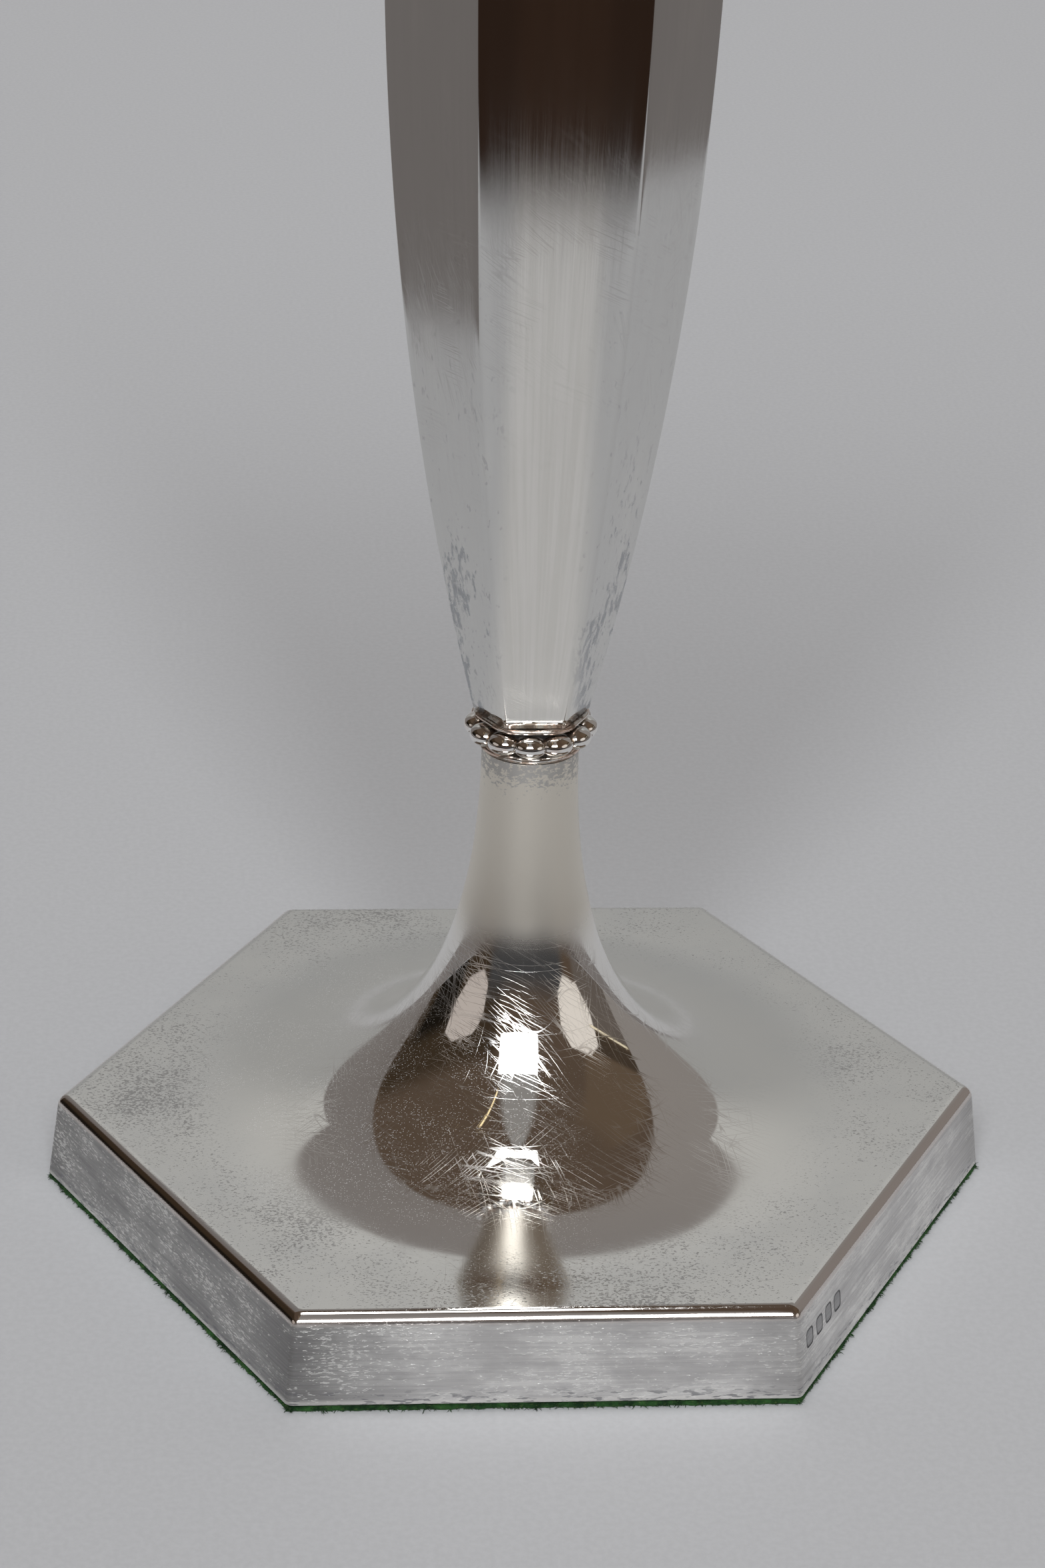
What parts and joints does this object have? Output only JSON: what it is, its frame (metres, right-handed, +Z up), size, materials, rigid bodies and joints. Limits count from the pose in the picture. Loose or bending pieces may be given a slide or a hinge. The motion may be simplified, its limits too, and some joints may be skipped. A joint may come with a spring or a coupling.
{
  "type": "candlestick",
  "caption": "Hexagonal silver candlestick: trumpet foot on baize, beaded collars, faceted stem flaring upwards, sconce and lift-out nozzle.",
  "frame": {"origin": "centre of the baize's underside, on the surface that the candlestick stands on", "axes": "+Z up along the stick's axis; the hexagons have two corners on the X axis and a flat side facing -Y"},
  "size_m": [0.1596, 0.1386, 0.3022],
  "materials": {
    "silver": "polished sheet silver, lightly scratched and brushed",
    "worn_silver": "polished silver wire and beading with tarnish in the crevices",
    "steel": "plain mild steel",
    "plaster": "cast plaster loading",
    "board": "fibreboard",
    "baize": "green wool baize"
  },
  "bodies": {
    "stick": {"baize_pad": "baize", "base_board": "board", "foot_filling": "plaster", "foot_shell": "silver", "tie_rod": "steel", "lower_nut": "steel", "lower_washer": "steel", "lower_wire_ring": "worn_silver", "lower_bead_collar": "worn_silver", "stem_foot_plate": "worn_silver", "stem_filling": "plaster", "stem_shell": "silver", "stem_shoulder": "silver", "upper_bead_collar": "worn_silver", "upper_wire_ring": "worn_silver", "sconce_foot_plate": "worn_silver", "sconce_shell": "silver", "upper_washer": "steel", "upper_nut": "steel", "sconce_sleeve": "worn_silver"},
    "nozzle": {"nozzle_cup": "silver", "drip_pan": "silver", "drip_pan_border": "worn_silver", "nozzle_rim": "worn_silver"}
  },
  "joints": [
    {"name": "nozzle_lift", "type": "slide", "parent": "stick", "child": "nozzle", "axis": [0, 0, 1], "range_m": [0, 0.034]}
  ]
}
